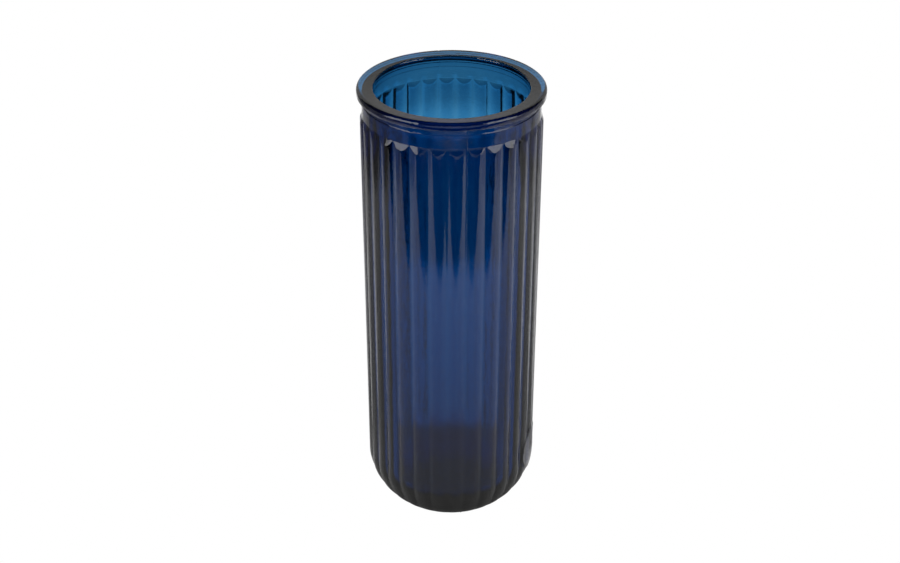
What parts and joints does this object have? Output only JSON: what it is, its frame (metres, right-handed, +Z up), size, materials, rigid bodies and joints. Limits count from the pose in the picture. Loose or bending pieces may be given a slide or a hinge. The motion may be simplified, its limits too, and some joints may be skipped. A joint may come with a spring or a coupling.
{
  "type": "reeded glass vase",
  "caption": "Tall cylindrical blue glass vase with a wide flat-topped rim, vertical convex reeds, a rounded heel and a thick base.",
  "frame": {"origin": "centre of the bearing face under the base", "axes": "+Z up the axis of the vase, out of the mouth; the mould seam lies at -Y and +Y"},
  "size_m": [0.115, 0.115, 0.3],
  "materials": {
    "blue_glass": "moulded"
  },
  "bodies": {
    "root": {"rim_ring": "blue_glass", "neck_collar": "blue_glass", "reeded_wall": "blue_glass", "heel": "blue_glass", "base": "blue_glass", "round_seal": "blue_glass"}
  },
  "joints": []
}
